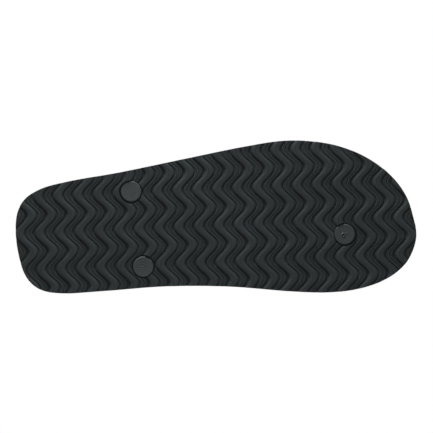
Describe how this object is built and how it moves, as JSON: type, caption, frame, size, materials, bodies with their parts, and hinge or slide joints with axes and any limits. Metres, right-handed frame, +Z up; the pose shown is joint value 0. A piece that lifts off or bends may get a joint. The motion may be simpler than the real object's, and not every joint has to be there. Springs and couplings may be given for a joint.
{
  "type": "flip flop",
  "caption": "Flip flop for a right foot: flat layered foam sole with a wavy tread, padded strap with a toe post, and round strap plugs set flush in the sole.",
  "frame": {"origin": "on the ground under the middle of the sole", "axes": "+Z up, toes towards -Y, inner (medial) side of the foot towards +X"},
  "size_m": [0.1094, 0.2852, 0.0655],
  "materials": {
    "outsole_foam": "moulded, dull satin",
    "midsole_foam": "cut foam, matte",
    "footbed_foam": "finely textured foam, matte",
    "plug_plastic": "moulded, satin",
    "strap_upper": "fine grain, satin",
    "strap_padding": "open foam",
    "strap_lining": "soft knit",
    "webbing": "woven"
  },
  "bodies": {
    "sole": {"outsole": "outsole_foam", "midsole": "midsole_foam", "footbed": "footbed_foam", "medial_tape": "webbing", "lateral_tape": "webbing", "saddle_upper": "strap_upper", "saddle_lining": "strap_lining", "toe_post": "webbing"},
    "medial_arm": {"medial_arm_upper": "strap_upper", "medial_arm_padding": "strap_padding", "medial_arm_lining": "strap_lining"},
    "lateral_arm": {"lateral_arm_upper": "strap_upper", "lateral_arm_padding": "strap_padding", "lateral_arm_lining": "strap_lining"},
    "toe_button": {"toe_plug": "plug_plastic"},
    "medial_button": {"medial_plug": "plug_plastic"},
    "lateral_button": {"lateral_plug": "plug_plastic"}
  },
  "joints": [
    {"name": "medial_arm_flop", "type": "hinge", "parent": "sole", "child": "medial_arm", "pos_m": [0.03233, 0.04676, 0.02751], "axis": [-0.1131, -0.9881, 0.1038], "range_deg": [-20, 25], "stiffness_Nm_per_rad": 0.3},
    {"name": "lateral_arm_flop", "type": "hinge", "parent": "sole", "child": "lateral_arm", "pos_m": [-0.02808, 0.05282, 0.02751], "axis": [-0.2297, 0.9684, -0.0974], "range_deg": [-20, 25], "stiffness_Nm_per_rad": 0.3},
    {"name": "toe_plug_turn", "type": "hinge", "parent": "sole", "child": "toe_button", "pos_m": [0.0138, -0.0916, 0.0004], "axis": [0, 0, 1], "range_deg": [-20, 20]},
    {"name": "medial_plug_turn", "type": "hinge", "parent": "sole", "child": "medial_button", "pos_m": [0.0308, 0.0528, 0.0004], "axis": [0, 0, 1], "range_deg": [-20, 20]},
    {"name": "lateral_plug_turn", "type": "hinge", "parent": "sole", "child": "lateral_button", "pos_m": [-0.0233, 0.0591, 0.0004], "axis": [0, 0, 1], "range_deg": [-20, 20]}
  ]
}
